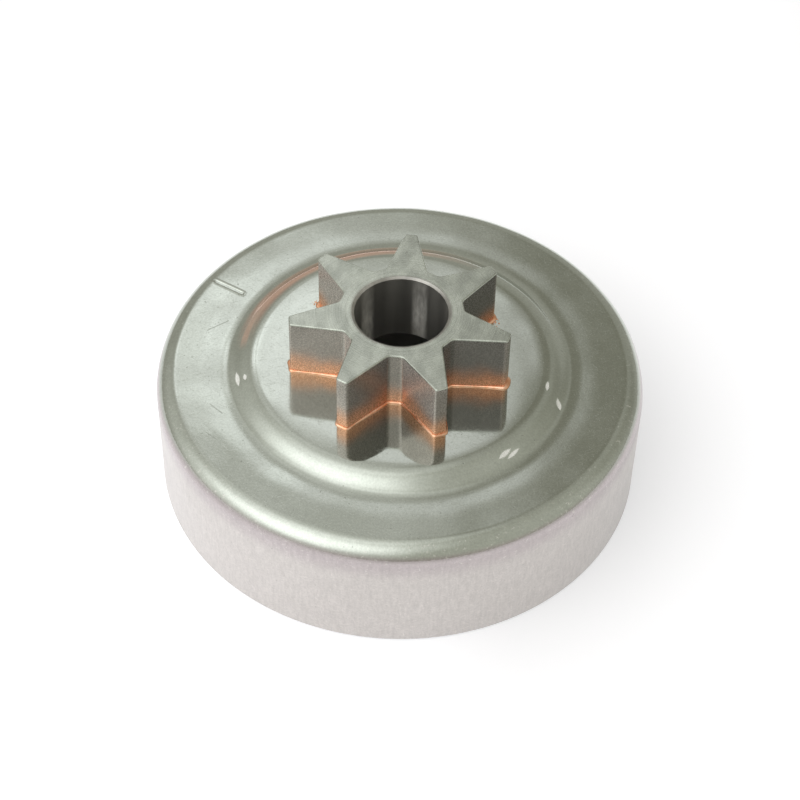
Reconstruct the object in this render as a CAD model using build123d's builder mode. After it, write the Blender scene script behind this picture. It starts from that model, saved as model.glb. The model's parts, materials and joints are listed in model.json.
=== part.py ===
from build123d import *
import os
from math import asin, atan, cos, degrees, radians, sin, tan

# Clutch drum of a chainsaw with a spur sprocket brazed onto its face.
# The drum is a cup drawn from one steel sheet. It stands on its open rim, z = 0 is that rim,
# and +Z is the shaft axis. Lengths are in millimetres, angles in degrees counted from +X.

# Spur: a star of straight-flanked teeth around a needle-bearing bore
tooth_count = 7
first_tooth_angle = -68.7
tip_diameter = 31.0
tip_width = 1.7
tip_round = 0.35
root_width = 1.95
root_round = 0.9
root_wall = 2.15
spur_height = 9.06
bore_diameter = 13.0
bore_chamfer_width = 0.45
bore_chamfer_depth = 0.3
spigot_wall = 1.5

# Braze: the filler metal that runs round the foot of the spur
bead_leg = 0.45
bead_height = 0.35
bead_land = 0.1
braze_gap = 0.05

# Drum: friction wall, flange and a raised seat under the spur, all from one sheet
friction_diameter = 64.8
sheet_thickness = 1.9
flange_height = 18.9
shoulder_radius = 3.5
inner_corner_chamfer = 1.6
seat_margin = 5.2
seat_step = 1.1
seat_slope_width = 3.4
rim_outer_chamfer = 0.3
rim_inner_chamfer = 0.4

# Pump notch: a slot in the rear of the rim, at +Y, where the oil pump's drive arm hooks in
notch_width = 5.0
notch_depth = 3.5
notch_corner_radius = 0.8

# Tick: one straight radial mark pressed into the flange, just inside the shoulder
tick_angle = 149.8
tick_length = 4.1
tick_width = 0.65
tick_depth = 0.2
tick_margin = 0.2

# Sizes that follow from those above
bore_radius = bore_diameter / 2
spigot_radius = bore_radius + spigot_wall
root_radius = bore_radius + root_wall
tip_radius = tip_diameter / 2
tooth_pitch = 360 / tooth_count
first_gap_angle = first_tooth_angle + tooth_pitch / 2

friction_radius = friction_diameter / 2
wall_radius = friction_radius + sheet_thickness
flange_radius = wall_radius - shoulder_radius
flange_underside = flange_height - sheet_thickness
seat_height = flange_height + seat_step
seat_underside = seat_height - sheet_thickness
seat_radius = tip_radius + seat_margin
hub_hole_radius = spigot_radius + braze_gap
spur_top = seat_height + spur_height

# The seat rounds over in one curve that leaves its flat smoothly and drops by the step within the width.
# The tangents at the curve's two ends are equally long, and meet this far out from the seat's edge.
crown_reach = (seat_slope_width**2 + seat_step**2) / (2 * seat_slope_width)
crown_foot_radius = seat_radius + seat_slope_width

# Underneath, a straight slope runs one sheet thickness below the curve's chord.
chord_angle = atan(seat_step / seat_slope_width)
slope_shift = sheet_thickness * tan(chord_angle / 2)
slope_top_radius = seat_radius - slope_shift
slope_foot_radius = slope_top_radius + seat_slope_width

# A tooth gap is a trapezium in its own frame, with local X pointing outwards.
# Its flank runs from the root corner through the tip corner and on past the tip circle.
tip_corner_angle = radians(tooth_pitch / 2) - asin(tip_width / tip_diameter)
tip_corner = Vector(tip_radius * cos(tip_corner_angle), tip_radius * sin(tip_corner_angle))
root_corner = Vector(root_radius, root_width / 2)
flank = tip_corner - root_corner
gap_depth = tip_diameter - root_radius
gap_mouth = root_corner + flank * (gap_depth / flank.X)

# Star: a tip circle with the tooth gaps cut out, first with sharp corners
with BuildSketch() as sharp_star:
    Circle(tip_radius)
    with PolarLocations(0, tooth_count, start_angle=first_gap_angle):
        Polygon(
            (root_corner.X, -root_corner.Y),
            (gap_mouth.X, -gap_mouth.Y),
            (gap_mouth.X, gap_mouth.Y),
            (root_corner.X, root_corner.Y),
            align=None,
            mode=Mode.SUBTRACT,
        )

# Spur outline: the same star with its roots and tips rounded
with BuildSketch() as spur_outline:
    add(sharp_star.sketch)
    fillet(spur_outline.vertices().group_by(SortBy.DISTANCE)[0], root_round)
    fillet(spur_outline.vertices().group_by(SortBy.DISTANCE)[-1], tip_round)

# Drum: the section runs out along the skin to the rim, back along the inside, and is turned about Z
with BuildPart() as clutch_drum:
    with BuildSketch(Plane.XZ):
        with BuildLine():
            seat = Line((hub_hole_radius, seat_height), (seat_radius, seat_height))
            crown = Bezier(
                seat @ 1,
                (seat_radius + crown_reach, seat_height),
                (crown_foot_radius, flange_height),
            )
            flange = Line(crown @ 1, (flange_radius, flange_height))
            shoulder = JernArc(flange @ 1, flange % 1, shoulder_radius, -90)
            Polyline(
                shoulder @ 1,
                (wall_radius, 0),
                (friction_radius, 0),
                (friction_radius, flange_underside - inner_corner_chamfer),
                (friction_radius - inner_corner_chamfer, flange_underside),
                (slope_foot_radius, flange_underside),
                (slope_top_radius, seat_underside),
                (hub_hole_radius, seat_underside),
                seat @ 0,
            )
        make_face()
    revolve(axis=Axis.Z)

    chamfer(clutch_drum.edges().group_by(Axis.Z)[0].sort_by(SortBy.RADIUS)[0], rim_inner_chamfer)
    chamfer(clutch_drum.edges().group_by(Axis.Z)[0].sort_by(SortBy.RADIUS)[-1], rim_outer_chamfer)

    with BuildSketch(Plane.XY.offset(flange_height)):
        with PolarLocations(flange_radius - tick_margin - tick_length / 2, 1, start_angle=tick_angle):
            SlotOverall(tick_length, tick_width)
    extrude(amount=-tick_depth, mode=Mode.SUBTRACT)

    with BuildSketch(Plane.XZ):
        RectangleRounded(notch_width, 2 * notch_depth, notch_corner_radius)
    extrude(amount=-2 * wall_radius, mode=Mode.SUBTRACT)

# Spur: the star stands on the seat, and its spigot fills the drum's hole down to the underside
with BuildPart() as spur_sprocket:
    with BuildSketch(Plane.XY.offset(seat_height)):
        add(spur_outline.sketch)
    extrude(amount=spur_height)
    with BuildSketch(Plane.XY.offset(seat_height)):
        Circle(spigot_radius)
    extrude(amount=-sheet_thickness)
    with Locations((0, 0, spur_top)):
        Hole(bore_radius)
    top_face = spur_sprocket.faces().sort_by(Axis.Z)[-1]
    bore_mouth = top_face.edges().filter_by(GeomType.CIRCLE).sort_by(SortBy.LENGTH)[-1]
    chamfer(bore_mouth, bore_chamfer_width, bore_chamfer_depth, reference=top_face)

# Braze bead: a band that slopes from the seat up to a narrow land on the flanks. It is the sharp star
# grown by the leg, so it is widest at the corners of the tips, where the filler gathers.
bead_taper = degrees(atan((bead_leg - bead_land) / bead_height))
with BuildPart() as braze_bead:
    with BuildSketch(Plane.XY.offset(seat_height)):
        add(sharp_star.sketch)
        offset(amount=bead_leg, kind=Kind.INTERSECTION)
    extrude(amount=bead_height, taper=bead_taper)
    with BuildSketch(Plane.XY.offset(seat_height)):
        add(spur_outline.sketch)
    extrude(amount=bead_height, mode=Mode.SUBTRACT)

os.makedirs("parts", exist_ok=True)
for piece, name in (
    (clutch_drum, "clutch_drum"),
    (spur_sprocket, "spur_sprocket"),
    (braze_bead, "braze_bead"),
):
    piece.part.label = name
    export_step(piece.part, f"parts/{name}.step")
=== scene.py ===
import json
from math import asin, atan2, cos, pi, radians, sin, tau

import bmesh
import bpy
import numpy as np
from mathutils import Matrix, Vector


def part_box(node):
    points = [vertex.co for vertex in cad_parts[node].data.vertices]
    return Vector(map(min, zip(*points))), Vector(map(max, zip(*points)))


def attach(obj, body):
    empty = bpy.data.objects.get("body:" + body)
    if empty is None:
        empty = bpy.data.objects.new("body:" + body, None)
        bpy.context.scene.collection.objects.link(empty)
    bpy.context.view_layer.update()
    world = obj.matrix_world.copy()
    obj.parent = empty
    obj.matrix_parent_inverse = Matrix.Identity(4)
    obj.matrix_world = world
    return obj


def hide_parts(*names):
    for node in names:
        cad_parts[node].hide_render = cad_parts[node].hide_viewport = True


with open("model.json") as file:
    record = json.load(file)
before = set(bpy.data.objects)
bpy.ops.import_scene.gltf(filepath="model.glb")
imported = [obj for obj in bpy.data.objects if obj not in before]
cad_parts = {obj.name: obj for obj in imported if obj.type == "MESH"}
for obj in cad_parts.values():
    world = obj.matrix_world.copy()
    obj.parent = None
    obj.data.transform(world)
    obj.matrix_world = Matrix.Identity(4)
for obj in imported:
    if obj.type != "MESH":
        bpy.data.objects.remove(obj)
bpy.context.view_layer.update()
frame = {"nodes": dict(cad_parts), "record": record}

# Lengths are in millimetres and angles in degrees counted from +X. Meshes are scaled to metres when made.
MM = 0.001
SEED = 7


def reach(node):
    """The largest distance of a CAD node's points from the shaft axis."""
    points = np.zeros(len(frame["nodes"][node].data.vertices) * 3)
    frame["nodes"][node].data.vertices.foreach_get("co", points)
    points = points.reshape(-1, 3) / MM
    return float(np.hypot(points[:, 0], points[:, 1]).max())


def bore_of(mount):
    """The radius of one of the record's bores."""
    return next(m["dims"]["r_mm"] for m in frame["record"]["mounts"] if m["name"] == mount)


# Sizes that the frame states
wall_radius = reach("clutch_drum")
tip_radius = reach("spur_sprocket")
seat_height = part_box("clutch_drum")[1].z / MM
spur_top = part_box("spur_sprocket")[1].z / MM
seat_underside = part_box("spur_sprocket")[0].z / MM
bore_radius = bore_of("bearing_bore")
friction_radius = bore_of("friction_wall")
sheet_thickness = seat_height - seat_underside

# Drum
seat_step = 1.5
seat_margin = 5.2
seat_slope_width = 3.4
shoulder_radius = 2.86
inner_corner_chamfer = 1.6
rim_outer_chamfer = 0.3
rim_inner_chamfer = 0.4
notch_width = 5.0
notch_depth = 3.5
notch_corner_radius = 0.8
notch_reach_past = 4.0
notch_reach_below = 1.0

# The seat falls gently towards the hub, from this radius inwards and with a soft edge
seat_dish_tilt = 0.9
seat_dish_radius = 19.4
seat_dish_softness = 0.3

# How steeply the skin falls from the seat to the flange: radius and tilt.
# A shallow trough rings the step's foot.
STEP_TILTS = (
    (20.0, 0.0),
    (21.0, 10.4),
    (22.0, 26.6),
    (22.7, 35.9),
    (23.3, 30.2),
    (23.9, 15.5),
    (24.2, 7.8),
    (25.0, 1.2),
    (25.7, -1.4),
    (26.8, -1.5),
    (28.5, 0.0),
)

# Spur
tooth_count = 7
first_tooth_angle = -68.7
tip_width = 1.7
tip_round = 0.35
root_width = 1.95
root_round = 0.9
root_wall = 2.15
spigot_wall = 1.5
braze_gap = 0.05
bore_chamfer_width = 0.34
bore_chamfer_depth = 0.24
edge_break = 0.16
edge_support = 0.03

# Painted glints: bright upright streaks in the bore that stand in for reflections of light from its
# opening: angle, half their width and how much brighter they are
BORE_PAINTED_GLINTS = ((66.5, 13.0, 0.95), (138.0, 14.0, 0.95))

# Braze bead
bead_width = 0.26
bead_height = 0.28
bead_swell = 0.09
bead_swell_power = 6
bead_sunk = 0.03

# The bead's unevenness: wavelength and size, and how much of it shows in the height
BEAD_WAVES = ((2.6, 0.05), (7.0, 0.05))
bead_rise_share = 0.6

# Tick, pressed into the flange
tick_angle = 149.8
tick_inner_radius = 26.5
tick_outer_radius = 31.4
tick_width = 0.60
tick_depth = 0.08
tick_wall = 0.12
tick_reach = 2.0
tick_lip_distance = 0.45
tick_lip_width = 0.12
tick_lip_height = 0.02

# Dents on the step: angle, radius, length along the step, width across it, depth
DENTS = (
    (311.5, 22.5, 2.2, 0.30, 0.06),
    (341.5, 23.2, 1.4, 0.35, 0.06),
    (346.0, 21.3, 1.8, 0.30, 0.04),
    (190.5, 23.0, 1.8, 0.30, 0.04),
    (192.0, 21.9, 1.4, 0.30, 0.03),
)

# Each nick where something struck the step has a painted highlight. Radius and angle of the start, then of
# the end, and half the width
NICKS = (
    (22.55, 306.6, 22.20, 313.6, 0.40),
    (23.05, 309.4, 22.75, 316.4, 0.32),
    (22.70, 344.0, 23.80, 339.4, 0.45),
    (20.95, 349.4, 21.20, 343.8, 0.34),
    (23.05, 186.4, 22.98, 194.2, 0.40),
    (21.95, 189.4, 21.95, 192.8, 0.34),
)

# Long scratches on the flange: radius and angle of the start, then of the end
SCRATCHES = (
    (28.2, 168.2, 25.9, 162.4),
    (27.4, 198.0, 26.3, 202.5),
    (29.6, 207.5, 28.9, 211.0),
)
scratch_width = 0.09

# A painted reflection of the spur's copper along the rear of the step, with two brighter painted lines in
# it that draw together
painted_reflection_radius = 22.3
painted_reflection_half_width = 1.6
painted_reflection_start = 50.0
painted_reflection_fade = 55.0
painted_reflection_end = 178.0
painted_lines_apart = 1.0
painted_lines_joined = 0.15

# Drops of filler beside two teeth: radius and angle of the middle of each cluster
SPATTER = ((15.8, 137.5), (15.2, 29.0))
spatter_count = 14
spatter_spread = 0.45
spatter_smallest = 0.05
spatter_largest = 0.15
spatter_flatness = 0.7
spatter_lift = 0.2

# How finely the drum is turned, in degrees and in columns across the tick and across each dent
column_turn = 1.0
tick_half_turn = 1.4
tick_columns = 41
dent_columns = 21

# Edges that turn by more than this stay sharp in the shading
sharp_angle = 28
bead_sharp_angle = 50
spatter_sharp_angle = 60

# Waves left by the press: wavelength and height
WAVES = ((14.0, 0.014), (6.0, 0.005))

# They fade in between these radii, and between these heights over the rim
WAVES_RADII = (17.0, 20.0)
WAVES_HEIGHTS = (0.5, 3.0)

# Colours of the metals and the floor. A pair is the darkest and the lightest of a cloudy surface.
FACE_COLOURS = ((0.525, 0.565, 0.505, 1), (0.580, 0.615, 0.565, 1))
WALL_COLOURS = ((0.565, 0.535, 0.510, 1), (0.600, 0.570, 0.550, 1))
INSIDE_COLOURS = ((0.40, 0.40, 0.37, 1), (0.54, 0.53, 0.49, 1))
SPUR_TOP_COLOURS = ((0.50, 0.54, 0.475, 1), (0.585, 0.62, 0.56, 1))
FLANK_COLOURS = ((0.30, 0.275, 0.255, 1), (0.37, 0.34, 0.315, 1))
BORE_COLOURS = ((0.50, 0.49, 0.455, 1), (0.58, 0.57, 0.53, 1))
COPPER_COLOURS = ((0.86, 0.38, 0.19, 1), (0.98, 0.54, 0.33, 1))
FILLER_COLOURS = ((0.90, 0.46, 0.27, 1), (0.98, 0.62, 0.43, 1))
# Painted dark reflection low on the shoulder
painted_dark_band_colour = (0.50, 0.455, 0.455, 1)
# Painted reflection of the spur's copper on the rear of the step
painted_reflection_colour = (0.78, 0.53, 0.43, 1)
speck_colour = (0.86, 0.85, 0.80, 1)
# Painted highlight on each nick
nick_painted_highlight_colour = (0.93, 0.94, 0.91, 1)
# Painted light on flanks that face left, then painted shade on flanks that face right
flank_painted_light_colour = (0.52, 0.475, 0.445, 1)
flank_painted_shade_colour = (0.165, 0.155, 0.145, 1)
stain_colour = (0.46, 0.29, 0.21, 1)
# Painted shade on the copper wash, then on the copper, where flanks face right
wash_painted_shade_colour = (0.27, 0.14, 0.09, 1)
copper_painted_shade_colour = (0.42, 0.13, 0.05, 1)
floor_colour = (0.66, 0.65, 0.645, 1)
floor_glow_colour = (0.93, 0.95, 1.0, 1)

# Sizes that follow from those above
flange_height = seat_height - seat_step
flange_radius = wall_radius - shoulder_radius
flange_underside = flange_height - sheet_thickness
seat_radius = tip_radius + seat_margin
foot_radius = seat_radius + seat_slope_width
slope_shift = sheet_thickness * np.tan(atan2(seat_step, seat_slope_width) / 2)
spigot_radius = bore_radius + spigot_wall
hub_hole_radius = spigot_radius + braze_gap
root_radius = bore_radius + root_wall
half_pitch = pi / tooth_count


# Curves

def line(start, end, count):
    """Points along a straight run, without its last one."""
    share = np.linspace(0, 1, count, endpoint=False)[:, None]
    return np.array(start) * (1 - share) + np.array(end) * share


def arc(centre, radius, start, end, count):
    """Points along a circular arc between two angles in radians, without its last one."""
    angles = np.linspace(start, end, count, endpoint=False)
    return np.array(centre) + radius * np.c_[np.cos(angles), np.sin(angles)]


def bezier(start, middle, end, count):
    """Points along a quadratic curve, without its last one."""
    share = np.linspace(0, 1, count, endpoint=False)[:, None]
    ends = np.array(start) * (1 - share) ** 2 + np.array(end) * share**2
    return ends + np.array(middle) * 2 * share * (1 - share)


def normals_of(points, closed):
    """Unit normals to the right of a run of points."""
    if closed:
        tangent = np.roll(points, -1, 0) - np.roll(points, 1, 0)
    else:
        tangent = np.gradient(points, axis=0)
    normal = np.c_[tangent[:, 1], -tangent[:, 0]]
    return normal / np.linalg.norm(normal, axis=1)[:, None]


def smooth_step(value, low, high):
    """0 below low, 1 above high, and smooth in between."""
    share = np.clip((value - low) / (high - low), 0, 1)
    return share * share * (3 - 2 * share)


def waves(points, wavelength, height, count=14):
    """A smooth random field over 3-D points: a sum of sine waves in seeded directions."""
    random = np.random.default_rng(SEED + int(wavelength))
    heading = random.normal(size=(count, 3))
    heading *= tau / wavelength / np.linalg.norm(heading, axis=1)[:, None]
    phase = random.uniform(0, tau, count)
    return height * np.sqrt(2 / count) * np.sin(points @ heading.T + phase).sum(1)


# Meshes

def make_piece(name, rings, materials, replaced, ring_materials=None, sharp=sharp_angle):
    """Skins a closed loop of equal rings with quads and puts the piece in the frame."""
    rings = np.array(rings)
    ring_count, column_count = rings.shape[:2]
    ring, column = np.meshgrid(np.arange(ring_count), np.arange(column_count), indexing="ij")
    next_ring = (ring + 1) % ring_count
    next_column = (column + 1) % column_count
    corners = (
        ring * column_count + column,
        ring * column_count + next_column,
        next_ring * column_count + next_column,
        next_ring * column_count + column,
    )
    faces = np.stack(corners, -1).reshape(-1, 4)
    mesh = bpy.data.meshes.new(name)
    mesh.from_pydata((rings.reshape(-1, 3) * MM).tolist(), [], faces.tolist())
    for material in materials:
        mesh.materials.append(material)
    if ring_materials is not None:
        mesh.polygons.foreach_set("material_index", np.repeat(ring_materials, column_count))
    piece = bpy.data.objects.new(name, mesh)
    bpy.context.scene.collection.objects.link(piece)
    soften(mesh, sharp)
    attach(piece, "root")
    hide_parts(replaced)
    return piece


def soften(mesh, sharp):
    """Shades a mesh smooth, apart from edges that turn by more than the sharp angle."""
    mesh.polygons.foreach_set("use_smooth", np.ones(len(mesh.polygons), bool))
    mesh.set_sharp_from_angle(angle=radians(sharp))
    mesh.update()


def turned(radius, height, angles):
    """A ring of points round the shaft axis."""
    return np.c_[radius * np.cos(angles), radius * np.sin(angles), np.full(len(angles), height)]


# Drum

def drum_columns():
    """Angles of the drum's columns in radians: even ones, and closer ones across the tick and the dents."""
    columns = [np.arange(0, 360, column_turn)]
    columns.append(tick_angle + np.linspace(-tick_half_turn, tick_half_turn, tick_columns))
    for angle, radius, length, _, _ in DENTS:
        half_turn = np.degrees(length / radius)
        columns.append(angle + np.linspace(-half_turn, half_turn, dent_columns))
    return np.radians(np.unique(np.round(np.concatenate(columns) % 360, 2)))


def dish(radius):
    """How far the seat lies below its own edge: it falls gently towards the hub."""
    inside = seat_dish_radius - radius
    inside = (inside + np.hypot(inside, seat_dish_softness)) / 2
    return np.tan(radians(seat_dish_tilt)) * inside


def step_profile(count):
    """Points of the step, whose tilts add up to the fall from the seat to the flange."""
    radii, tilts = np.array(STEP_TILTS).T
    run = np.linspace(radii[0], radii[-1], count)
    slope = np.tan(np.radians(np.interp(run, radii, tilts)))
    fall = np.r_[0, np.cumsum((slope[1:] + slope[:-1]) / 2 * np.diff(run))]
    return np.c_[run, seat_height - seat_step * fall / fall[-1]]


def drum_profile():
    """The skin and the inside of the drum as runs of (radius, height), from the hub hole back to it."""
    step = step_profile(56)
    skin = np.vstack((
        line((hub_hole_radius, seat_height), step[0], 30),
        step[:-1],
        line(step[-1], (flange_radius, flange_height), 12),
        arc((flange_radius, flange_height - shoulder_radius), shoulder_radius, pi / 2, 0, 24),
        line((wall_radius, flange_height - shoulder_radius), (wall_radius, rim_outer_chamfer), 10),
        [(wall_radius, rim_outer_chamfer)],
    ))
    skin[:, 1] -= dish(skin[:, 0])
    corner_height = flange_underside - inner_corner_chamfer
    inside = np.vstack((
        [(wall_radius - rim_outer_chamfer, 0), (friction_radius + rim_inner_chamfer, 0)],
        line((friction_radius, rim_inner_chamfer), (friction_radius, corner_height), 6),
        bezier(
            (friction_radius, corner_height),
            (friction_radius - inner_corner_chamfer / 2, flange_underside - inner_corner_chamfer / 2),
            (friction_radius - inner_corner_chamfer, flange_underside),
            5,
        ),
        line(
            (friction_radius - inner_corner_chamfer, flange_underside),
            (foot_radius - slope_shift, flange_underside),
            5,
        ),
        line((foot_radius - slope_shift, flange_underside), (seat_radius - slope_shift, seat_underside), 5),
        line((seat_radius - slope_shift, seat_underside), (hub_hole_radius, seat_underside), 6),
        [(hub_hole_radius, seat_underside)],
    ))
    return skin, inside


def tick_press(radius, angles):
    """How far the tick sinks the skin at one radius: a round-ended groove with soft walls."""
    along = np.clip(radius, tick_inner_radius + tick_width / 2, tick_outer_radius)
    aside = radius * np.sin(angles - radians(tick_angle))
    ahead = radius * np.cos(angles - radians(tick_angle))
    distance = np.hypot(aside, ahead - along)
    groove = tick_depth * (1 - smooth_step(distance, tick_width / 2 - tick_wall, tick_width / 2))
    lip = tick_lip_height * np.exp(-(((distance - tick_lip_distance) / tick_lip_width) ** 2))
    return np.where(ahead > 0, groove - lip, 0)


def dent_press(radius, angles):
    """How far the dents sink the skin at one radius."""
    depth_here = np.zeros(len(angles))
    for angle, middle, length, width, depth in DENTS:
        turn = (angles - radians(angle) + pi) % tau - pi
        along = middle * turn / (length / 2)
        across = (radius - middle) / width
        depth_here += depth * np.exp(-(along**2 + across**2))
    return depth_here


def notch_cutter(material):
    """A rounded bar that reaches through the rear of the rim."""
    half = notch_width / 2 - notch_corner_radius
    top = notch_depth - notch_corner_radius
    outline = np.vstack((
        [(half + notch_corner_radius, -notch_reach_below)],
        arc((half, top), notch_corner_radius, 0, pi / 2, 8),
        arc((-half, top), notch_corner_radius, pi / 2, pi, 8),
        [(-half - notch_corner_radius, top), (-half - notch_corner_radius, -notch_reach_below)],
    ))
    count = len(outline)
    near, far = friction_radius - notch_reach_past, wall_radius + notch_reach_past
    points = [(x * MM, y * MM, z * MM) for y in (near, far) for x, z in outline]
    sides = [(count + i, count + (i + 1) % count, (i + 1) % count, i) for i in range(count)]
    caps = [tuple(range(count)), tuple(range(count, 2 * count))[::-1]]
    mesh = bpy.data.meshes.new("notch_cutter")
    mesh.from_pydata(points, [], sides + caps)
    mesh.materials.append(material)
    cutter = bpy.data.objects.new("notch_cutter", mesh)
    bpy.context.scene.collection.objects.link(cutter)
    return cutter


def make_drum(skin_material, inside_material):
    """The drum: a turned sheet with press waves, a tick, dents and the pump notch."""
    angles = drum_columns()
    skin, inside = drum_profile()
    normals = normals_of(skin, closed=False) * -1
    rings = []
    for (radius, height), normal in zip(skin, normals):
        ring = turned(radius, height, angles)
        lift = sum(waves(ring, *wave) for wave in WAVES)
        lift *= smooth_step(radius, *WAVES_RADII) * smooth_step(height, *WAVES_HEIGHTS)
        press = dent_press(radius, angles)
        if height > flange_height - tick_reach:
            press = press + tick_press(radius, angles)
        out = turned(normal[0], normal[1], angles)
        rings.append(ring + out * (lift - press)[:, None])
    rings += [turned(radius, height, angles) for radius, height in inside]
    ring_materials = np.r_[np.zeros(len(skin) - 1, int), np.ones(len(inside) + 1, int)]
    drum = make_piece(
        "drum_pressing", rings[::-1], (skin_material, inside_material), "clutch_drum",
        np.roll(ring_materials[::-1], -1),
    )
    cutter = notch_cutter(inside_material)
    cut = drum.modifiers.new("notch", "BOOLEAN")
    cut.object = cutter
    cut.operation = "DIFFERENCE"
    cut.solver = "EXACT"
    cut.material_mode = "TRANSFER"
    whole = drum.data
    evaluated = drum.evaluated_get(bpy.context.evaluated_depsgraph_get())
    drum.data = bpy.data.meshes.new_from_object(evaluated)
    drum.modifiers.clear()
    bpy.data.objects.remove(cutter)
    bpy.data.meshes.remove(whole)
    soften(drum.data, sharp_angle)
    return drum


# Spur

def half_gap():
    """Half a tooth gap, from its middle to the middle of the next tip. X points out along the gap."""
    tip_angle = half_pitch - asin(tip_width / 2 / tip_radius)
    root = np.array((root_radius, root_width / 2))
    along = tip_radius * np.array((cos(tip_angle), sin(tip_angle))) - root
    along /= np.linalg.norm(along)
    into_gap = np.array((along[1], -along[0]))

    root_centre = root + root_round * np.array((1, -(1 - along[1]) / along[0]))
    root_end = root_centre - root_round * into_gap
    base = root - tip_round * into_gap
    lean = base @ along
    tip_centre = base + along * (-lean + np.sqrt(lean**2 - base @ base + (tip_radius - tip_round) ** 2))
    tip_start = tip_centre + tip_round * into_gap
    tip_end_angle = atan2(tip_centre[1], tip_centre[0])
    return np.vstack((
        line((root_radius, 0), (root_radius, root_centre[1]), 4),
        arc(root_centre, root_round, pi, atan2(along[0], -along[1]), 10),
        line(root_end, tip_start, 14),
        arc(tip_centre, tip_round, atan2(into_gap[1], into_gap[0]), tip_end_angle, 9),
        arc((0, 0), tip_radius, tip_end_angle, half_pitch, 4),
        [tip_radius * np.array((cos(half_pitch), sin(half_pitch)))],
    ))


def star_outline():
    """The spur's outline, counter-clockwise, as one closed run of points."""
    half = half_gap()
    mirrored = half[::-1] * (1, -1)
    gap = np.vstack((mirrored[:-1], half[:-1]))
    turns = radians(first_tooth_angle) + half_pitch * (1 + 2 * np.arange(tooth_count))
    return np.vstack([gap @ np.array(((cos(t), sin(t)), (-sin(t), cos(t)))) for t in turns])


def flat_ring(points, height):
    """A ring of 2-D points at one height."""
    return np.c_[points, np.full(len(points), height)]


def make_spur(outline, material):
    """The spur: bore, chamfer, top, broken edge, flanks and spigot as rings that follow the star."""
    out = normals_of(outline, closed=True)
    angles = np.arctan2(outline[:, 1], outline[:, 0])
    bore_heights = np.linspace(seat_underside, spur_top - bore_chamfer_depth, 8)
    rings = [turned(bore_radius, height, angles) for height in bore_heights]
    rings.append(turned(bore_radius + bore_chamfer_width, spur_top, angles))
    rings.append(flat_ring(outline - out * (edge_break + edge_support), spur_top))
    for turn in np.linspace(0, pi / 2, 5):
        inset = edge_break * (1 - sin(turn))
        rings.append(flat_ring(outline - out * inset, spur_top - edge_break * (1 - cos(turn))))
    foot_height = seat_height - dish(spigot_radius)
    for height in np.linspace(spur_top - edge_break, foot_height, 12)[1:]:
        rings.append(flat_ring(outline, height))
    rings.append(turned(spigot_radius, foot_height, angles))
    rings.append(turned(spigot_radius, seat_underside, angles))
    return make_piece("spur_milled", rings[::-1], (material,), "spur_sprocket")


# Braze

def make_bead(outline, material):
    """The bead: a rounded run of filler round the star, fatter at the tips and uneven along its length."""
    out = normals_of(outline, closed=True)
    tipward = smooth_step(np.linalg.norm(outline, axis=1), root_radius, tip_radius)
    unevenness = sum(waves(flat_ring(outline, 0), *wave) for wave in BEAD_WAVES)
    width = bead_width + bead_swell * tipward**bead_swell_power + unevenness
    rise = bead_height + bead_rise_share * unevenness
    foot = seat_height - dish(np.linalg.norm(outline, axis=1))
    rings = [np.c_[outline - out * bead_sunk, foot - bead_sunk]]
    for turn in np.linspace(0, pi / 2, 8):
        ring = outline + out * (width * sin(turn))[:, None]
        rings.append(np.c_[ring, foot + rise * cos(turn)])
    rings.append(np.c_[outline + out * width[:, None], foot - bead_sunk])
    return make_piece(
        "braze_run", rings[::-1], (material,), "braze_bead", sharp=bead_sharp_angle
    )


def make_spatter(material):
    """Small drops of filler that lie on the seat beside two teeth."""
    random = np.random.default_rng(SEED)
    drops = bmesh.new()
    for radius, angle in SPATTER:
        for size in random.uniform(spatter_smallest, spatter_largest, spatter_count):
            x, y = np.array(polar(radius, angle)) + random.normal(0, spatter_spread, 2)
            squash = Matrix.Diagonal((size * MM, size * MM, spatter_flatness * size * MM, 1))
            foot = seat_height - dish(np.hypot(x, y))
            place = Matrix.Translation(Vector((x, y, foot + spatter_lift * size)) * MM)
            bmesh.ops.create_icosphere(drops, subdivisions=2, radius=1.0, matrix=place @ squash)
    mesh = bpy.data.meshes.new("braze_spatter")
    drops.to_mesh(mesh)
    drops.free()
    mesh.materials.append(material)
    soften(mesh, spatter_sharp_angle)
    piece = bpy.data.objects.new("braze_spatter", mesh)
    bpy.context.scene.collection.objects.link(piece)
    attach(piece, "root")
    return piece


# Node trees

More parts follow.
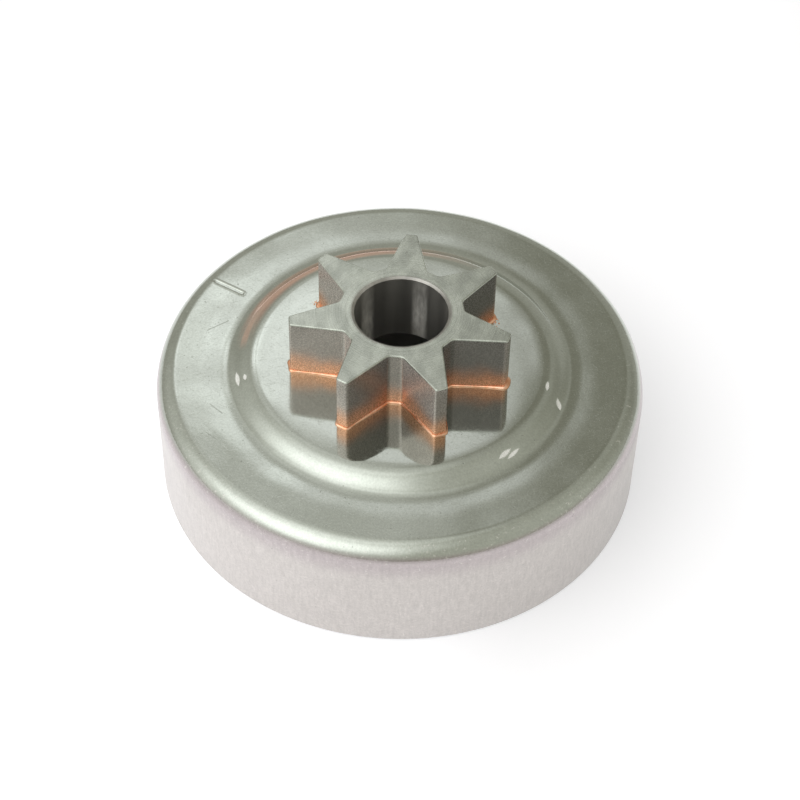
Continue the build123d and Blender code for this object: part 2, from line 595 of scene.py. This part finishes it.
class Nodes:
    """Short calls for building a node tree. Each call adds a node and returns its output socket."""

    def __init__(self, tree):
        self.tree = tree
        self.tree.nodes.clear()

    def put(self, socket, value):
        """Links a socket to another, or sets its value."""
        if isinstance(value, bpy.types.NodeSocket):
            self.tree.links.new(value, socket)
        else:
            socket.default_value = value

    def add(self, kind, inputs=None, output=0, **settings):
        node = self.tree.nodes.new("ShaderNode" + kind)
        for name, value in settings.items():
            setattr(node, name, value)
        for name, value in (inputs or {}).items():
            self.put(node.inputs[name], value)
        return node.outputs[output] if node.outputs else None

    def math(self, operation, first, second=0.0):
        return self.add("Math", {0: first, 1: second}, operation=operation)

    def vector(self, operation, first, second=(0, 0, 0)):
        return self.add("VectorMath", {0: first, 1: second}, operation=operation)

    def measure(self, operation, first, second=(0, 0, 0)):
        """A number worked out from one or two vectors."""
        return self.vector(operation, first, second).node.outputs["Value"]

    def ramp(self, value, low, high, start=0.0, end=1.0):
        """A smooth change from start to end as value goes from low to high."""
        inputs = {"Value": value, "From Min": low, "From Max": high, "To Min": start, "To Max": end}
        return self.add("MapRange", inputs, interpolation_type="SMOOTHSTEP")

    def mix(self, share, first, second):
        """A blend of two colours."""
        return self.add("Mix", {0: share, 6: first, 7: second}, output=2, data_type="RGBA")

    def blend(self, share, first, second):
        """A blend of two numbers."""
        return self.add("Mix", {0: share, 2: first, 3: second})

    def noise(self, place, scale, detail=2.0, roughness=0.5):
        inputs = {"Vector": place, "Scale": scale, "Detail": detail, "Roughness": roughness}
        return self.add("TexNoise", inputs)

    def scale(self, vector, factor):
        """A vector or a colour times a number."""
        return self.add("VectorMath", {0: vector, "Scale": factor}, operation="SCALE")

    def place(self):
        """The position on the piece in millimetres."""
        return self.scale(self.add("TexCoord", output="Object"), 1 / MM)

    def turn(self, place, angle):
        """A place turned about Z by an angle in degrees."""
        return self.add("VectorRotate", {"Vector": place, "Angle": radians(angle)}, rotation_type="Z_AXIS")

    def split(self, vector):
        node = self.tree.nodes.new("ShaderNodeSeparateXYZ")
        self.put(node.inputs[0], vector)
        return node.outputs

    def join(self, x, y, z):
        return self.add("CombineXYZ", {0: x, 1: y, 2: z})

    def scuffs(self, place, angle, length, width, limit):
        """Short thin marks that all run at one angle in the XY plane of the given place."""
        stretched = self.vector("MULTIPLY", self.turn(place, angle), (1 / length, 1 / width, 1 / length))
        return self.ramp(self.noise(stretched, 1.0, detail=1.0), limit, limit + 0.05)

    def lens(self, place, start, end, width):
        """One pointed mark between two points of the XY plane, widest and fullest in its middle."""
        start, end = Vector((*start, 0)), Vector((*end, 0))
        middle, half = (start + end) / 2, (end - start) / 2
        aside = Vector((-half.y, half.x, 0)).normalized()
        offset = self.vector("SUBTRACT", place, middle)
        ahead = self.measure("DOT_PRODUCT", offset, half / half.length_squared)
        across = self.measure("DOT_PRODUCT", offset, aside / width)
        taper = self.math("SUBTRACT", 1.0, self.math("MULTIPLY", ahead, ahead))
        body = self.math("SUBTRACT", taper, self.math("ABSOLUTE", across))
        return self.ramp(body, 0.0, 0.6)

    def scratch(self, place, start, end, width):
        """One straight mark between two points of the XY plane, full within a third of its width."""
        start, end = Vector((*start, 0)), Vector((*end, 0))
        along = (end - start).normalized()
        offset = self.vector("SUBTRACT", place, start)
        travel = self.measure("DOT_PRODUCT", offset, along)
        travel = self.add("Clamp", {"Value": travel, "Min": 0.0, "Max": (end - start).length})
        nearest = self.scale(along, travel)
        distance = self.measure("DISTANCE", offset, nearest)
        return self.ramp(distance, width, width / 3)


def new_material(name):
    material = bpy.data.materials.new(name)
    material.use_nodes = True
    return material, Nodes(material.node_tree)


def finish_metal(nodes, colour, roughness, height, distance, bare=1.0):
    """A metal surface whose bumps are a height field of so many millimetres. What isn't bare is dull."""
    normal = nodes.add("Bump", {"Height": height, "Strength": 1.0, "Distance": distance * MM})
    inputs = {"Base Color": colour, "Metallic": bare, "Roughness": roughness, "Normal": normal}
    shader = nodes.add("BsdfPrincipled", inputs)
    nodes.add("OutputMaterial", {"Surface": shader})


def polar(radius, angle):
    """A point of the XY plane from its radius and its angle in degrees."""
    return (radius * cos(radians(angle)), radius * sin(radians(angle)))


def drum_skin():
    """Pressed steel: a glossy seat, a satin flange, grain where the sheet was stretched round the shoulder,
    a scratched wall, a painted dark reflection low on the shoulder, a painted reflection of the spur's
    copper along the rear of the step and a painted highlight on each nick.
    """
    material, nodes = new_material("drum_skin")
    place = nodes.place()
    x, y, z = nodes.split(place)
    flat = nodes.join(x, y, 0.0)
    radius = nodes.measure("LENGTH", flat)
    unrolled = nodes.join(nodes.math("MULTIPLY", nodes.math("ARCTAN2", y, x), wall_radius), z, 0.0)

    on_wall = nodes.ramp(z, flange_height - 1.0, flange_height - 3.2)
    on_seat = nodes.ramp(radius, seat_radius + 0.6, seat_radius - 0.9)
    on_shoulder = nodes.math(
        "MULTIPLY", nodes.ramp(radius, flange_radius - 0.5, flange_radius + 1.5), nodes.ramp(z, 13.0, 16.0)
    )
    sheet = nodes.mix(nodes.math("LESS_THAN", z, flange_height - 1.2), flat, unrolled)
    # Painted dark reflection: a darker mauve band low on the shoulder and at the top of the wall
    painted_dark_band = nodes.math(
        "MULTIPLY", nodes.ramp(z, flange_height - 0.9, flange_height - 1.8), nodes.ramp(z, 12.5, 16.0)
    )

    cloud = nodes.noise(place, 0.12, 3.0)
    grain = nodes.noise(place, 3.2, 2.0, 0.6)
    mottle = nodes.noise(place, 0.7, 3.0, 0.6)
    brushing = nodes.noise(nodes.vector("MULTIPLY", unrolled, (2.2, 0.35, 1.0)), 1.0, 4.0, 0.65)
    pits = nodes.ramp(nodes.noise(place, 2.4, 1.0), 0.75, 0.79)
    specks = nodes.ramp(nodes.noise(place, 2.0, 3.0, 0.65), 0.60, 0.70)
    specks = nodes.math("MULTIPLY", specks, on_shoulder)
    marks = nodes.scuffs(sheet, 35, 1.8, 0.13, 0.67)
    for angle, length in ((80, 1.4), (-20, 2.2)):
        marks = nodes.math("MAXIMUM", marks, nodes.scuffs(sheet, angle, length, 0.13, 0.67))
    on_face = nodes.math("GREATER_THAN", z, flange_height - 0.3)
    cuts = 0.0
    for start_radius, start_angle, end_radius, end_angle in SCRATCHES:
        start, end = polar(start_radius, start_angle), polar(end_radius, end_angle)
        cuts = nodes.math("MAXIMUM", cuts, nodes.scratch(flat, start, end, scratch_width))
    cuts = nodes.math("MULTIPLY", cuts, on_face)
    # Each nick is a dent with a painted highlight: near-white colour and less metal
    nicks_and_painted_highlights = 0.0
    for start_radius, start_angle, end_radius, end_angle, width in NICKS:
        start, end = polar(start_radius, start_angle), polar(end_radius, end_angle)
        nicks_and_painted_highlights = nodes.math("MAXIMUM", nicks_and_painted_highlights, nodes.lens(flat, start, end, width))
    nicks_and_painted_highlights = nodes.math("MULTIPLY", nicks_and_painted_highlights, on_face)

    # Painted reflection of the spur's copper along the rear of the step: a copper tint with two brighter
    # painted lines that draw together
    turn = nodes.math("ARCTAN2", y, x)
    beside = nodes.math("ABSOLUTE", nodes.math("SUBTRACT", radius, painted_reflection_radius))
    rear = nodes.ramp(turn, radians(painted_reflection_start), radians(painted_reflection_start + painted_reflection_fade))
    painted_reflection = nodes.math("MULTIPLY", nodes.ramp(beside, painted_reflection_half_width, 0.4 * painted_reflection_half_width), rear)
    painted_reflection = nodes.math("MULTIPLY", painted_reflection, nodes.ramp(turn, radians(painted_reflection_end), radians(painted_reflection_end - 30)))
    apart = nodes.ramp(turn, radians(110), radians(165), painted_lines_apart, painted_lines_joined)
    painted_reflection_lines = nodes.ramp(nodes.math("ABSOLUTE", nodes.math("SUBTRACT", beside, apart)), 0.6, 0.1)
    painted_reflection_lines = nodes.math("MULTIPLY", painted_reflection_lines, rear)
    painted_lines_stop = nodes.ramp(turn, radians(painted_reflection_end), radians(painted_reflection_end - 8))
    painted_reflection_lines = nodes.math("MULTIPLY", painted_reflection_lines, painted_lines_stop)

    tone = nodes.ramp(grain, 0.25, 0.75, -0.06, 0.06)
    brushed = nodes.math("MULTIPLY", on_wall, nodes.ramp(brushing, 0.3, 0.7, -0.05, 0.05))
    tone = nodes.math("ADD", tone, brushed)
    tone = nodes.math("ADD", tone, nodes.ramp(mottle, 0.3, 0.7, -0.02, 0.02))
    tone = nodes.math("ADD", tone, nodes.math("MULTIPLY", marks, nodes.blend(on_wall, 0.03, 0.18)))
    tone = nodes.math("SUBTRACT", tone, nodes.math("MULTIPLY", cuts, 0.14))
    tone = nodes.math("SUBTRACT", tone, nodes.math("MULTIPLY", pits, 0.22))
    tone = nodes.math("ADD", tone, nodes.math("MULTIPLY", painted_reflection_lines, 0.22))
    face_colour = nodes.mix(cloud, *FACE_COLOURS)
    wall_colour = nodes.mix(cloud, *WALL_COLOURS)
    colour = nodes.mix(on_wall, face_colour, wall_colour)
    colour = nodes.mix(painted_dark_band, colour, painted_dark_band_colour)
    # The painted copper reflection tints the colour here
    copper_tint_and_painted_light = nodes.math("MULTIPLY", painted_reflection, 0.95)
    copper_tint_and_painted_light = nodes.math("MAXIMUM", copper_tint_and_painted_light, nodes.math("MULTIPLY", painted_reflection_lines, 0.7))
    colour = nodes.mix(copper_tint_and_painted_light, colour, painted_reflection_colour)
    colour = nodes.mix(nodes.math("MULTIPLY", specks, 0.5), colour, speck_colour)
    colour = nodes.mix(nicks_and_painted_highlights, colour, nick_painted_highlight_colour)
    colour = nodes.scale(colour, nodes.math("ADD", tone, 1.0))

    gloss = nodes.blend(on_seat, 0.12, 0.07)
    gloss = nodes.blend(on_wall, gloss, 0.34)
    gloss = nodes.math("ADD", gloss, nodes.ramp(cloud, 0.35, 0.7, -0.02, 0.04))
    gloss = nodes.math("ADD", gloss, nodes.math("MULTIPLY", marks, 0.08))
    gloss = nodes.math("ADD", gloss, nodes.math("MULTIPLY", nicks_and_painted_highlights, 0.25))

    relief = nodes.math("MULTIPLY", grain, nodes.blend(on_shoulder, 0.13, 0.60))
    relief = nodes.math("ADD", relief, nodes.math("MULTIPLY", mottle, nodes.blend(on_shoulder, 0.35, 1.2)))
    relief = nodes.math("MULTIPLY", relief, nodes.blend(on_seat, 1.0, 0.35))
    relief = nodes.math("SUBTRACT", relief, nodes.math("MULTIPLY", marks, 0.06))
    relief = nodes.math("SUBTRACT", relief, nodes.math("MULTIPLY", cuts, 0.4))
    relief = nodes.math("SUBTRACT", relief, nodes.math("MULTIPLY", pits, 0.6))
    relief = nodes.math("SUBTRACT", relief, nodes.math("MULTIPLY", nicks_and_painted_highlights, 2.0))
    bare = nodes.math("SUBTRACT", 1.0, nodes.math("MULTIPLY", nicks_and_painted_highlights, 0.65))
    bare = nodes.math("SUBTRACT", bare, nodes.math("MULTIPLY", specks, 0.30))
    finish_metal(nodes, colour, gloss, relief, 0.012, bare)
    return material


def drum_inside():
    """The unseen side of the sheet: duller, with rings worn by the clutch."""
    material, nodes = new_material("drum_inside")
    place = nodes.place()
    height = nodes.split(place)[2]
    cloud = nodes.noise(place, 0.2, 4.0)
    rings = nodes.noise(nodes.join(0.0, 0.0, height), 6.0, 3.0)
    grain = nodes.noise(place, 5.0, 2.0)
    colour = nodes.mix(cloud, *INSIDE_COLOURS)
    gloss = nodes.ramp(rings, 0.35, 0.65, 0.30, 0.42)
    relief = nodes.math("ADD", nodes.math("MULTIPLY", rings, 0.8), nodes.math("MULTIPLY", grain, 0.4))
    finish_metal(nodes, colour, gloss, relief, 0.010)
    return material


def spur_steel():
    """Milled steel: turning marks on top, upright grain on the flanks, and copper risen from the foot.
    Painted shade darkens the flanks on the right and those that face right, painted light brightens flanks
    that face left, and painted glints streak the bore.
    """
    material, nodes = new_material("spur_steel_milled")
    place = nodes.place()
    x, y, z = nodes.split(place)
    radius = nodes.measure("LENGTH", nodes.join(x, y, 0.0))
    on_top = nodes.ramp(z, spur_top - 0.3, spur_top - 0.1)
    in_bore = nodes.ramp(radius, bore_radius + 0.7, bore_radius + 0.2)
    below_top = nodes.math("SUBTRACT", 1.0, on_top)
    on_flank = nodes.math("MULTIPLY", below_top, nodes.math("SUBTRACT", 1.0, in_bore))

    rings = nodes.noise(nodes.join(radius, nodes.math("MULTIPLY", z, 0.1), 0.0), 9.0, 3.0, 0.7)
    upright = nodes.noise(nodes.vector("MULTIPLY", place, (7.0, 7.0, 0.6)), 1.0, 2.0, 0.6)
    speckle = nodes.noise(place, 5.0, 2.0, 0.6)
    flow = nodes.noise(nodes.vector("MULTIPLY", place, (0.5, 0.25, 0.1)), 1.0, 2.0, 0.5)
    brushing = nodes.noise(nodes.vector("MULTIPLY", nodes.turn(place, -35), (0.5, 9.0, 0.1)), 1.0, 3.0, 0.6)
    cloud = nodes.noise(place, 0.30, 2.0)
    around = nodes.math("MULTIPLY", nodes.math("ARCTAN2", y, x), bore_radius)
    streaks = nodes.noise(nodes.join(around, nodes.math("MULTIPLY", z, 0.04), 0.0), 0.30, 2.0, 0.5)

    drift = nodes.math("MULTIPLY", nodes.math("SUBTRACT", nodes.noise(place, 0.22, 2.0), 0.5), 3.0)
    drift = nodes.math("ADD", drift, nodes.math("MULTIPLY", nodes.math("SUBTRACT", speckle, 0.5), 1.2))
    climb = nodes.math("ADD", nodes.math("SUBTRACT", z, seat_height), drift)
    wash = nodes.math("MULTIPLY", nodes.math("POWER", nodes.ramp(climb, 6.0, -1.5), 2.0), on_flank)

    top_colour = nodes.mix(cloud, *SPUR_TOP_COLOURS)
    # Painted shade: flanks on the right and flanks that face right are darkened, apart from the tips;
    # flanks that face left get painted light
    facing_x = nodes.split(nodes.add("TexCoord", output="Normal"))[0]
    to_the_right = nodes.math("ADD", facing_x, nodes.math("DIVIDE", x, tip_radius))
    shade = nodes.ramp(to_the_right, -0.5, 0.7)
    shade = nodes.math("MULTIPLY", shade, nodes.ramp(radius, tip_radius - 0.1, tip_radius - 0.6))
    flank_colour = nodes.mix(cloud, *FLANK_COLOURS)
    flank_colour = nodes.mix(nodes.ramp(facing_x, -0.3, -0.8), flank_colour, flank_painted_light_colour)
    flank_colour = nodes.mix(shade, flank_colour, flank_painted_shade_colour)
    bore_colour = nodes.mix(cloud, *BORE_COLOURS)
    copper = nodes.mix(nodes.ramp(speckle, 0.3, 0.7), *COPPER_COLOURS)
    # The copper and the copper wash get the same painted shade
    copper = nodes.mix(nodes.math("MULTIPLY", shade, 0.45), copper, copper_painted_shade_colour)
    copper_tint_and_painted_light = nodes.mix(shade, stain_colour, wash_painted_shade_colour)
    tint = nodes.mix(nodes.ramp(wash, 0.0, 0.5), flank_colour, copper_tint_and_painted_light)
    colour = nodes.mix(on_top, nodes.mix(wash, tint, copper), top_colour)
    outward = nodes.vector("NORMALIZE", nodes.join(x, y, 0.0))
    # Painted glints in the bore: lighter colour and less metal in bands at the listed angles, fuller low
    # down
    painted_glints = 0.0
    for angle, half_width, gain in BORE_PAINTED_GLINTS:
        facing = nodes.measure("DOT_PRODUCT", outward, (*polar(1, angle), 0.0))
        band = nodes.ramp(facing, cos(radians(half_width)), 1.0, 0.0, gain)
        painted_glints = nodes.math("MAXIMUM", painted_glints, band)
    painted_glints = nodes.math("MULTIPLY", painted_glints, nodes.ramp(z, spur_top, seat_height + 1.0, 0.35, 1.0))
    fine = nodes.noise(nodes.join(around, nodes.math("MULTIPLY", z, 0.25), 0.0), 2.2, 3.0, 0.6)
    painted_glints = nodes.math("MULTIPLY", painted_glints, nodes.ramp(fine, 0.3, 0.7, 0.6, 1.1))
    streak_tone_and_painted_glints = nodes.math("ADD", nodes.ramp(streaks, 0.35, 0.65, 0.60, 0.80), painted_glints)
    colour = nodes.mix(in_bore, colour, nodes.scale(bore_colour, streak_tone_and_painted_glints))
    tone = nodes.ramp(rings, 0.25, 0.75, -0.14, 0.14)
    tone = nodes.math("ADD", tone, nodes.ramp(flow, 0.3, 0.7, -0.14, 0.14))
    tone = nodes.math("ADD", tone, nodes.ramp(brushing, 0.3, 0.7, -0.05, 0.05))
    tone = nodes.math("ADD", tone, nodes.ramp(nodes.noise(place, 8.0, 2.0, 0.6), 0.3, 0.7, -0.10, 0.10))
    tone = nodes.math("MULTIPLY", on_top, tone)
    fleck = nodes.ramp(upright, 0.25, 0.75, -0.10, 0.10)
    fleck = nodes.math("ADD", fleck, nodes.ramp(speckle, 0.25, 0.75, -0.2, 0.2))
    tone = nodes.math("ADD", tone, nodes.math("MULTIPLY", on_flank, fleck))
    colour = nodes.scale(colour, nodes.math("ADD", tone, 1.0))

    gloss = nodes.blend(on_top, nodes.ramp(speckle, 0.3, 0.7, 0.22, 0.32), 0.22)
    gloss = nodes.blend(in_bore, gloss, nodes.ramp(streaks, 0.35, 0.65, 0.30, 0.45))

    relief = nodes.math("MULTIPLY", speckle, nodes.blend(on_flank, 0.1, 0.25))
    for marks, where, height in ((rings, on_top, 0.8), (brushing, on_top, 0.18), (upright, on_flank, 0.3)):
        raised = nodes.math("MULTIPLY", where, height)
        relief = nodes.math("ADD", relief, nodes.math("MULTIPLY", marks, raised))
    bare_bore = nodes.math("SUBTRACT", 0.80, nodes.math("MULTIPLY", painted_glints, 0.7))
    bare = nodes.blend(in_bore, nodes.blend(on_flank, 1.0, 0.55), bare_bore)
    finish_metal(nodes, colour, gloss, relief, 0.010, bare)
    return material


def braze_copper():
    """The filler: bright copper, smooth where it ran, with darker skin in places."""
    material, nodes = new_material("braze_copper")
    place = nodes.place()
    cloud = nodes.noise(place, 0.9, 3.0)
    ripple = nodes.noise(place, 3.0, 2.0)
    colour = nodes.mix(nodes.ramp(cloud, 0.35, 0.65), *FILLER_COLOURS)
    gloss = nodes.ramp(cloud, 0.3, 0.7, 0.14, 0.26)
    finish_metal(nodes, colour, gloss, ripple, 0.012)
    return material


# Studio

tent_radius = 700.0
tent_colour = (0.433, 0.422, 0.377)

# Lights on the tent: azimuth from the back and elevation in degrees, how far from its middle each one is
# full and how far it reaches, and what it adds. The last three are dark cards that take light away.
LIGHTS = {
    "key_high": (-132, 56, 8, 46, (0.55, 0.55, 0.57)),
    "key": (-133, 48, 5, 34, (0.30, 0.30, 0.31)),
    "key_low": (-129, 28, 3, 59, (0.40, 0.40, 0.41)),
    "overhead": (-31, 75, 9, 23, (0.30, 0.30, 0.31)),
    "front_fill": (126, 45, 30, 69, (0.12, 0.12, 0.11)),
    "left_fill": (-95, 46, 20, 54, (0.22, 0.22, 0.22)),
    "lamp_left": (-18.5, 45.1, 1.5, 4.2, (0.66, 0.67, 0.71)),
    "lamp_middle": (-12.5, 45.9, 1.0, 4.0, (0.42, 0.43, 0.45)),
    "lamp_right": (-6.5, 46.8, 1.5, 4.2, (0.58, 0.59, 0.63)),
    "lamp_end": (0.5, 48.2, 1.0, 4.2, (0.30, 0.30, 0.33)),
    "lamp_halo": (-12, 48.5, 9, 15, (0.20, 0.20, 0.21)),
    "dark_near": (16, 46, 5, 13, (-0.10, -0.10, -0.10)),
    "dark_right": (46, 47, 10, 42, (-0.06, -0.06, -0.06)),
    "dark_low": (66, 30, 5, 27, (-0.08, -0.08, -0.08)),
}

# The floor's own glow, what is added close to the drum on its left, and what its shadow and the floor
# outside the picture keep of it
floor_glow = 0.58
floor_glow_left = 0.22
shadow_share = 0.85
outer_share = 0.55

# Where these fade: the glow close to the drum and on its left, the shadow and its right side, and the floor
# beyond the sides and the front of the picture
CLOSE_RADII = (70.0, 40.0)
LEFT_OF_DRUM = (0.0, -40.0)
SHADOW_RADII = (58.0, 34.0)
RIGHT_OF_DRUM = (0.0, 20.0)
PICTURE_SIDES = (60.0, 110.0)
PICTURE_FRONT = (-78.0, -120.0)


def floor_material():
    """A pale floor that camera and mirror rays see as white, apart from the shadow on it."""
    material, nodes = new_material("floor_pale")
    x, y, _ = nodes.split(nodes.place())
    radius = nodes.measure("LENGTH", nodes.join(x, y, 0.0))
    path = nodes.tree.nodes.new("ShaderNodeLightPath").outputs
    seen = nodes.math("MAXIMUM", path["Is Camera Ray"], path["Is Glossy Ray"])
    seen = nodes.math("MAXIMUM", seen, path["Is Transmission Ray"])
    outside = nodes.ramp(radius, wall_radius - 1.0, wall_radius)
    close = nodes.ramp(radius, *CLOSE_RADII)
    left_gain = nodes.math("MULTIPLY", close, nodes.ramp(x, *LEFT_OF_DRUM, 0.0, floor_glow_left))
    shadow = nodes.math("MULTIPLY", nodes.ramp(radius, *SHADOW_RADII), nodes.ramp(x, *RIGHT_OF_DRUM))
    beside = nodes.ramp(nodes.math("ABSOLUTE", x), *PICTURE_SIDES)
    beyond = nodes.math("MAXIMUM", beside, nodes.ramp(y, *PICTURE_FRONT))
    glow = nodes.math("ADD", left_gain, floor_glow)
    glow = nodes.math("MULTIPLY", glow, nodes.blend(shadow, 1.0, shadow_share))
    glow = nodes.math("MULTIPLY", glow, nodes.blend(beyond, 1.0, outer_share))
    glow = nodes.math("MULTIPLY", nodes.math("MULTIPLY", seen, outside), glow)
    pale = nodes.add("BsdfDiffuse", {"Color": floor_colour})
    light = nodes.add("Emission", {"Color": floor_glow_colour, "Strength": glow})
    both = nodes.add("AddShader", {0: pale, 1: light})
    clear = nodes.add("BsdfTransparent")
    behind = nodes.add("NewGeometry", output="Backfacing")
    nodes.add("OutputMaterial", {"Surface": nodes.add("MixShader", {0: behind, 1: both, 2: clear})})
    return material


def heading(azimuth, elevation):
    """The direction at an azimuth from the back and an elevation, in degrees."""
    across, up = radians(azimuth), radians(elevation)
    return (sin(across) * cos(up), cos(across) * cos(up), sin(up))


def tent_material():
    """Soft light all round, brightest from the front left, with a lamp at the back."""
    material, nodes = new_material("light_tent")
    direction = nodes.vector("NORMALIZE", nodes.place())
    colour = nodes.vector("ADD", tent_colour)
    for azimuth, elevation, full, end, strength in LIGHTS.values():
        facing = nodes.measure("DOT_PRODUCT", direction, heading(azimuth, elevation))
        share = nodes.ramp(facing, cos(radians(end)), cos(radians(full)))
        colour = nodes.vector("ADD", colour, nodes.scale(strength, share))
    nodes.add("OutputMaterial", {"Surface": nodes.add("Emission", {"Color": colour, "Strength": 1.0})})
    material.cycles.emission_sampling = "NONE"
    return material


def make_studio():
    """The floor, the tent round it and a white world behind them."""
    bpy.ops.mesh.primitive_circle_add(vertices=96, radius=tent_radius * MM, fill_type="NGON")
    floor = bpy.context.object
    floor.name = "floor"
    floor.data.materials.append(floor_material())
    bpy.ops.mesh.primitive_uv_sphere_add(segments=96, ring_count=48, radius=tent_radius * MM)
    tent = bpy.context.object
    tent.name = "tent"
    tent.data.materials.append(tent_material())
    tent.visible_camera = False
    tent.visible_shadow = False

    world = bpy.data.worlds.new("studio")
    world.use_nodes = True
    world.node_tree.nodes["Background"].inputs["Color"].default_value = (1, 1, 1, 1)
    bpy.context.scene.world = world
    bpy.context.scene.view_settings.view_transform = "Standard"


# Camera, fitted to the photograph. The shifts are shares of the picture's width.
camera_elevation = 47.533
camera_distance = 308.4
camera_target_height = 9.94
camera_roll = 1.315
camera_lens = 96.65
camera_shift_x = 0.0009
camera_shift_y = 0.0065


def make_camera():
    """The camera at the photograph's viewing angle."""
    data = bpy.data.cameras.new("camera")
    data.lens = camera_lens
    data.shift_x = camera_shift_x
    data.shift_y = camera_shift_y
    data.clip_start = 0.01
    data.clip_end = 10
    camera = bpy.data.objects.new("camera", data)
    bpy.context.scene.collection.objects.link(camera)
    tilt = radians(camera_elevation)
    back = Vector((0, -cos(tilt), sin(tilt)))
    place = Vector((0, 0, camera_target_height)) + back * camera_distance
    turn = (-back).to_track_quat("-Z", "Y").to_matrix().to_4x4()
    roll = Matrix.Rotation(radians(camera_roll), 4, "Z")
    camera.matrix_world = Matrix.Translation(place * MM) @ turn @ roll
    bpy.context.scene.camera = camera


make_camera()
make_studio()
spur_outline = star_outline()
make_drum(drum_skin(), drum_inside())
make_spur(spur_outline, spur_steel())
filler = braze_copper()
make_bead(spur_outline, filler)
make_spatter(filler)
